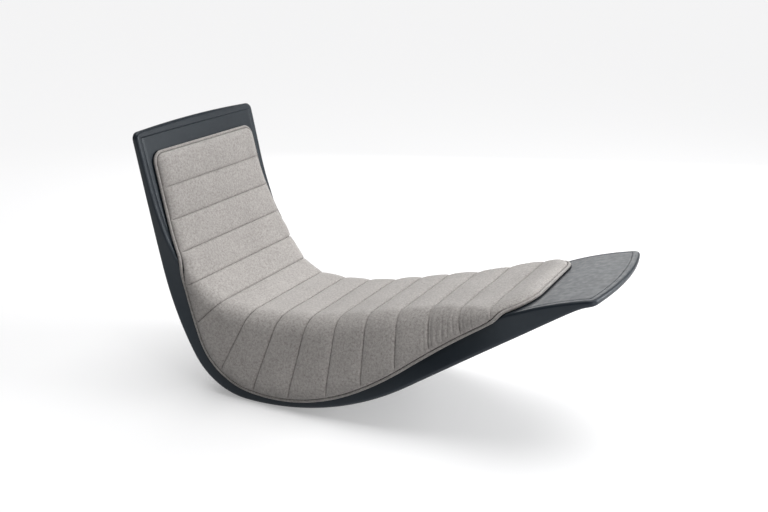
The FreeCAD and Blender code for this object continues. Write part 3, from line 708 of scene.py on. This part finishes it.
def pad_row(u):
    """One loop round the pad: top, one edge, underside and the other edge."""
    s = section(u)
    half = pad_half(u)
    row, cloth = [], []
    for share in pad_columns():
        girth = share * half
        y, h = s.over(abs(girth), pad_height(u, girth))
        row.append(s.place(math.copysign(y, girth), h))
        cloth.append((u, girth, 0.0))
    rim, rim_cloth = pad_rim(s, u, half, 1, (0.66, 0.33, 0.0))
    row += rim
    cloth += rim_cloth
    for share in spread(0.96, -0.96, 21):
        y, h = s.over(abs(share * half), PAD_REST)
        row.append(s.place(math.copysign(y, share), h))
        cloth.append((u, share * half, 0.0))
    rim, rim_cloth = pad_rim(s, u, half, -1, (0.0, 0.33, 0.66))
    return row + rim, cloth + rim_cloth


def cap_end(mesh, loop):
    """Closes the pad's end with a face between its top and its underside."""
    form = bmesh.new()
    form.from_mesh(mesh)
    form.verts.ensure_lookup_table()
    form.faces.new([form.verts[i] for i in loop])
    form.to_mesh(mesh)
    form.free()


def quilted_pad():
    rows, attribute = [], []
    for u in pad_rows():
        row, cloth = pad_row(u)
        rows.append(row)
        attribute += cloth
    obj = grid_mesh("quilted_pad", rows, close_columns=True, attribute=attribute, flip=True)
    width = len(rows[0])
    last = (len(rows) - 1) * width
    for loop in (list(range(width)), [last + i for i in reversed(range(width))]):
        cap_end(obj.data, loop)
    return obj


pad_piece = finish_piece(quilted_pad(), QUILT, "quilt_fabric", "pad_quilted_top", "pad_foam_sheet")


# Stitches of the quilting seams

STITCH_INSET, STITCH_LIFT = 9.0, 0.35
SEAM_POINTS = 90


def stitch_tree():
    """A row of stitches along every edge line: one short thread per stitch."""
    tree = bpy.data.node_groups.new("quilting_stitches", "GeometryNodeTree")
    face = tree.interface
    face.new_socket("Seam lines", in_out="INPUT", socket_type="NodeSocketGeometry")
    for name in ("Stitch pitch", "Stitch length", "Thread radius"):
        face.new_socket(name, in_out="INPUT", socket_type="NodeSocketFloat")
    face.new_socket("Thread", in_out="INPUT", socket_type="NodeSocketMaterial")
    face.new_socket("Stitches", in_out="OUTPUT", socket_type="NodeSocketGeometry")
    given = tree.nodes.new("NodeGroupInput").outputs
    result = tree.nodes.new("NodeGroupOutput")
    curve = node(tree, "GeometryNodeMeshToCurve", {"Mesh": given["Seam lines"]})
    points = node(tree, "GeometryNodeResampleCurve",
                  {"Curve": curve.outputs["Curve"], "Length": given["Stitch pitch"]}, mode="LENGTH")
    tangent = node(tree, "GeometryNodeInputTangent")
    turned = node(tree, "FunctionNodeAlignRotationToVector", {"Vector": tangent.outputs["Tangent"]},
                  axis="Z")
    thread = node(tree, "GeometryNodeMeshCylinder",
                  {"Vertices": 6, "Radius": given["Thread radius"], "Depth": given["Stitch length"]})
    placed = node(tree, "GeometryNodeInstanceOnPoints", {"Points": points.outputs["Curve"],
                                                         "Instance": thread.outputs["Mesh"],
                                                         "Rotation": turned.outputs["Rotation"]})
    real = node(tree, "GeometryNodeRealizeInstances", {"Geometry": placed.outputs["Instances"]})
    dressed = node(tree, "GeometryNodeSetMaterial", {"Geometry": real.outputs["Geometry"],
                                                     "Material": given["Thread"]})
    tree.links.new(dressed.outputs["Geometry"], result.inputs["Stitches"])
    return tree


def stitch_lines():
    """The quilting seams as lines on the cloth, at the bottom of their creases."""
    points, edges = [], []
    for i in range(1, CHANNELS):
        u = PAD_START + PITCH * i
        s = section(u)
        half = pad_half(u) - STITCH_INSET
        for girth in spread(-half, half, SEAM_POINTS):
            y, h = s.over(abs(girth), pad_height(u, girth) + STITCH_LIFT)
            points.append(Vector(s.place(math.copysign(y, girth), h)) * MM)
            if girth > -half:
                edges.append((len(points) - 2, len(points) - 1))
    mesh = bpy.data.meshes.new("quilting_stitches")
    mesh.from_pydata(points, edges, [])
    obj = bpy.data.objects.new("quilting_stitches", mesh)
    bpy.context.scene.collection.objects.link(obj)
    return obj


def quilting_stitches():
    """The stitches as one plain mesh, in place of the lines."""
    obj = stitch_lines()
    modifier = obj.modifiers.new("stitches", "NODES")
    modifier.node_group = stitch_tree()
    values = {"Stitch pitch": 0.0050, "Stitch length": 0.0038, "Thread radius": 0.00045, "Thread": THREAD}
    for item in modifier.node_group.interface.items_tree:
        if item.in_out == "INPUT" and item.name in values:
            modifier[item.identifier] = values[item.name]
    graph = bpy.context.evaluated_depsgraph_get()
    mesh = bpy.data.meshes.new_from_object(obj.evaluated_get(graph))
    obj.modifiers.clear()
    obj.data = mesh
    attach(obj, "root")


quilting_stitches()


# Piping round the pad

PIPING_GAP, PIPING_SWELL = 0.6, 0.03
RING_POINTS = 16
INSIDE_BEND = Vector((X0 + 600.0, 0.0, 900.0))


def piping_line():
    """Middle line of the corded edge, all round, as distance and girth."""
    us = [PAD_START + PAD_HEAD_CORNER * (1 - math.cos(t)) for t in spread(0.0, math.pi / 2, 12)]
    us += spread(PAD_START + PAD_HEAD_CORNER, PAD_END - PAD_FOOT_CORNER, 160)[1:]
    us += [PAD_END - PAD_FOOT_CORNER * (1 - math.cos(t)) for t in spread(math.pi / 2, 0.0, 22)][1:]
    side = [(u, pad_half(u)) for u in us]
    head = [(PAD_START, y) for y in spread(-side[0][1], side[0][1], 40)[1:-1]]
    foot = [(PAD_END, y) for y in spread(side[-1][1], -side[-1][1], 30)[1:-1]]
    return head + side + foot + [(u, -y) for u, y in reversed(side)]


def piping_centers():
    """The corded edge's middle line in space, set out from the pad by the cord's radius."""
    line = piping_line()
    lift = (RIM_LOFT + PAD_REST) / 2 + PIPING_GAP
    reach = PIPING_RADIUS + PIPING_GAP
    centers = []
    for i, (u, girth) in enumerate(line):
        before, after = line[i - 1], line[(i + 1) % len(line)]
        step = (after[0] - before[0], after[1] - before[1])
        length = math.hypot(*step)
        out_u, out_girth = -step[1] / length, step[0] / length
        s = section(u + out_u * reach)
        girth = girth + out_girth * reach
        y, h = s.over(abs(girth), lift)
        centers.append(Vector(s.place(math.copysign(y, girth), h)))
    return centers


def piping():
    """A round cord through the centres, with a slight swell along it."""
    centers = piping_centers()
    count = len(centers)
    ring = spread(0.0, 2 * math.pi, RING_POINTS + 1)[:-1]
    rows, attribute = [], []
    travelled = 0.0
    for i, center in enumerate(centers):
        after = centers[(i + 1) % count]
        ahead = (after - centers[i - 1]).normalized()
        side = ahead.cross(center - INSIDE_BEND).normalized()
        up = side.cross(ahead).normalized()
        swell = 1 + PIPING_SWELL * noise.noise(Vector((travelled * 0.06, 0.0, 0.0)))
        rows.append([tuple(center + (side * math.cos(t) + up * math.sin(t)) * PIPING_RADIUS * swell)
                     for t in ring])
        attribute += [(travelled + t * PIPING_RADIUS, t * PIPING_RADIUS - travelled, 0.0) for t in ring]
        travelled += (after - center).length
    return grid_mesh("pad_piping", rows, close_rows=True, close_columns=True, attribute=attribute)


piping_piece = finish_piece(piping(), CORD_CLOTH, "piping_fabric", "pad_piping_left", "pad_piping_right")


# Pieces that keep their solids, with materials of their own

KEPT = {
    "seat_foam": plain_material("upholstery_foam", (0.75, 0.68, 0.46), 0.9, 260.0, 0.6),
    "underside_felt": plain_material("grey_felt", (0.12, 0.12, 0.12), 0.95, 400.0, 0.8),
    "seat_deck": wood_material("birch_plywood", (0.62, 0.48, 0.31), (0.46, 0.34, 0.2)),
    "head_rail": wood_material("planed_beech", (0.5, 0.34, 0.2), (0.36, 0.23, 0.13)),
    "ballast_bar_1": plain_material("primed_steel", (0.05, 0.05, 0.055), 0.5, 90.0, 0.2),
    "rocker_runner_left": plain_material("black_rubber", (0.012, 0.012, 0.012), 0.75, 300.0, 0.4),
}
SAME = {
    "seat_foam": ("bolster_foam_left", "bolster_foam_right"),
    "seat_deck": ("underside_skin", "rib_left", "rib_right"),
    "head_rail": ("foot_rail", *(f"cross_rail_{i}" for i in range(1, 7))),
    "ballast_bar_1": tuple(f"ballast_bar_{i}" for i in range(2, 5)),
    "rocker_runner_left": ("rocker_runner_right", "pad_grip_mat"),
}
for first, material in KEPT.items():
    for name in (first, *SAME.get(first, ())):
        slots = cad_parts[name].data.materials
        slots.clear()
        slots.append(material)


# Camera at the photograph's place, floor and studio light

CAMERA_LENS, SENSOR_WIDTH = 46.875, 36.0
CAMERA_PLACE = (1.7589, -2.7767, 1.5239)
CAMERA_DIRECTION = (-0.43618, 0.84225, -0.3168)
FLOOR_REACH = 150
SUN_DISTANCE = 4.0


def aim(obj, direction):
    obj.rotation_mode = "QUATERNION"
    obj.rotation_quaternion = direction.to_track_quat("-Z", "Y")


camera_data = bpy.data.cameras.new("camera")
camera_data.lens = CAMERA_LENS
camera_data.sensor_width = SENSOR_WIDTH
camera = bpy.data.objects.new("camera", camera_data)
bpy.context.scene.collection.objects.link(camera)
camera.location = CAMERA_PLACE
aim(camera, Vector(CAMERA_DIRECTION))
bpy.context.scene.camera = camera


def floor_material():
    """Pale floor: white to the eye and in reflections, greyer where it only throws light back up."""
    material, tree, shader = new_material("pale_floor")
    path = node(tree, "ShaderNodeLightPath").outputs
    seen = calc(tree, "MAXIMUM", path["Is Camera Ray"], path["Is Glossy Ray"])
    seen = calc(tree, "MAXIMUM", seen, path["Is Transmission Ray"])
    tone = ramp(tree, seen, [(0.0, (0.42, 0.42, 0.425)), (1.0, (0.68, 0.68, 0.685))])
    tree.links.new(tone, shader.inputs["Base Color"])
    shader.inputs["Roughness"].default_value = 0.9
    shader.inputs["Specular IOR Level"].default_value = 0.0
    shader.inputs["Emission Color"].default_value = (1.0, 1.0, 1.0, 1.0)
    tree.links.new(calc(tree, "MULTIPLY", seen, 0.3), shader.inputs["Emission Strength"])
    return material


floor_mesh = bpy.data.meshes.new("studio_floor")
floor_corners = [(FLOOR_REACH * x, FLOOR_REACH * y, 0) for x, y in ((-1, -1), (1, -1), (1, 1), (-1, 1))]
floor_mesh.from_pydata(floor_corners, [], [(0, 1, 2, 3)])
floor = bpy.data.objects.new("studio_floor", floor_mesh)
floor_mesh.materials.append(floor_material())
bpy.context.scene.collection.objects.link(floor)


def add_lamp(name, data, power, place, direction):
    data.energy = power
    lamp = bpy.data.objects.new(name, data)
    bpy.context.scene.collection.objects.link(lamp)
    lamp.location = place
    aim(lamp, direction)
    return lamp


def area_light(name, place, target, size, power):
    data = bpy.data.lights.new(name, "AREA")
    data.shape = "RECTANGLE"
    data.size, data.size_y = size
    return add_lamp(name, data, power, place, Vector(target) - Vector(place))


def sun_light(name, toward, spread_angle, strength):
    data = bpy.data.lights.new(name, "SUN")
    data.angle = math.radians(spread_angle)
    return add_lamp(name, data, strength, Vector(toward) * -SUN_DISTANCE, Vector(toward))


sun_light("overhead_dome", (0.06, -0.16, -1.0), 62.0, 2.35)
area_light("foot_side_fill", (3.2, 1.6, 1.7), (0.0, 0.0, 0.6), (1.6, 1.6), 92.0)
area_light("near_side_graze", (3.3, -1.7, 1.0), (0.5, -0.3, 0.35), (0.7, 0.7), 28.0)
area_light("rear_sheen", (-0.2, 3.3, 1.45), (1.0, 0.0, 0.55), (3.0, 1.1), 34.0).visible_camera = False

world = bpy.data.worlds.new("studio")
world.use_nodes = True
background = world.node_tree.nodes["Background"]
background.inputs["Color"].default_value = (1.0, 1.0, 1.0, 1.0)
background.inputs["Strength"].default_value = 0.15
bpy.context.scene.world = world
bpy.context.scene.view_settings.view_transform = "Standard"
